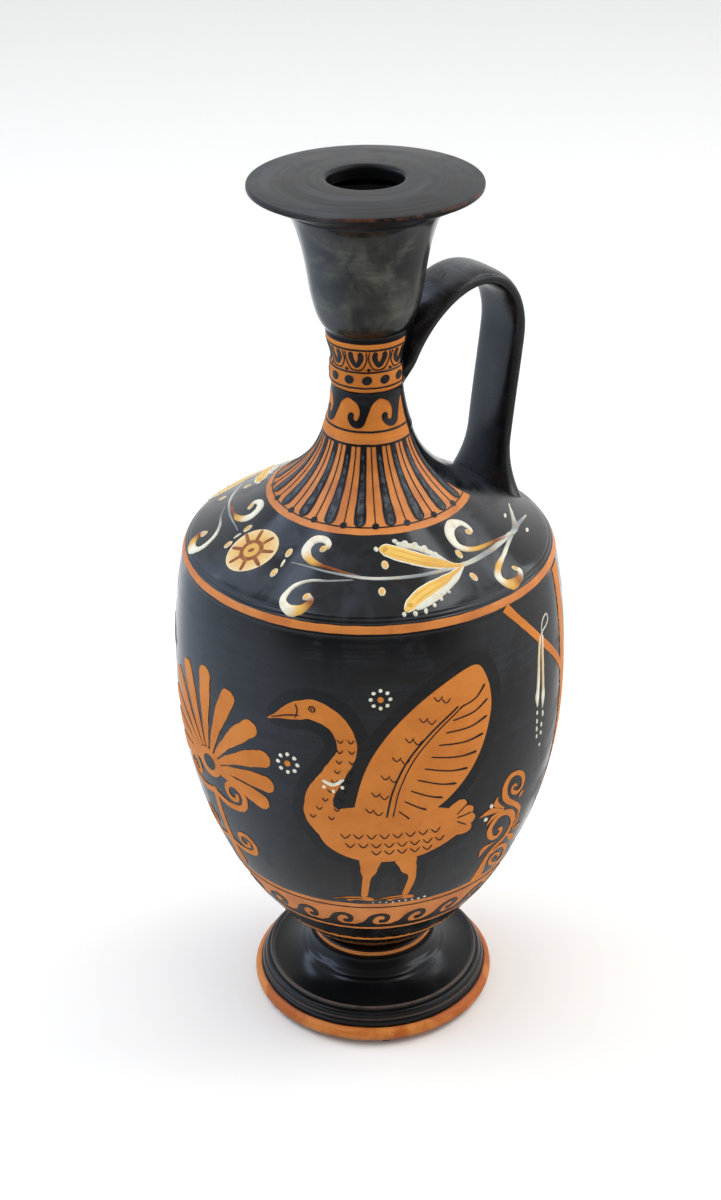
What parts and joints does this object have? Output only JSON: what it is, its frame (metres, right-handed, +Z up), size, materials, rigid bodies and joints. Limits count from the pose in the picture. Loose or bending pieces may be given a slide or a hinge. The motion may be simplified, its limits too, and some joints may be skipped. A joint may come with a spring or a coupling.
{
  "type": "lekythos vase",
  "caption": "Tall ceramic oil vase: disc foot on pads, full body, sloping shoulder, narrow neck, flaring mouth cup with a pierced rim disc, and a strap handle.",
  "frame": {"origin": "on the vase's axis, on the table under the foot pads", "axes": "+Z up along the vase's axis, +X towards the handle"},
  "size_m": [0.1572, 0.1572, 0.3604],
  "materials": {
    "black_gloss": "black gloss slip, satin to glossy, blue-grey sheen, brushed streaks and worn edges",
    "orange_clay": "polished orange-red clay with a thin wash, half matt",
    "clay_slip": "fired clay slip, matt",
    "cream_paint": "thick cream and yellow brush strokes, half matt",
    "rubber_pad": "dark brown rubber, matt"
  },
  "bodies": {
    "root": {"foot": "black_gloss", "stem_ring": "orange_clay", "body": "black_gloss", "shoulder": "black_gloss", "neck": "orange_clay", "mouth_cup": "black_gloss", "rim_disc": "black_gloss", "handle": "black_gloss", "foot_slip_seam": "clay_slip", "shoulder_slip_seam": "clay_slip", "neck_slip_seam": "clay_slip", "mouth_slip_seam": "clay_slip", "rim_slip_seam": "clay_slip", "handle_upper_slip": "clay_slip", "handle_lower_slip": "clay_slip", "foot_pad_1": "rubber_pad", "foot_pad_2": "rubber_pad", "foot_pad_3": "rubber_pad", "foot_pad_4": "rubber_pad", "foot_pad_5": "rubber_pad"}
  },
  "joints": []
}
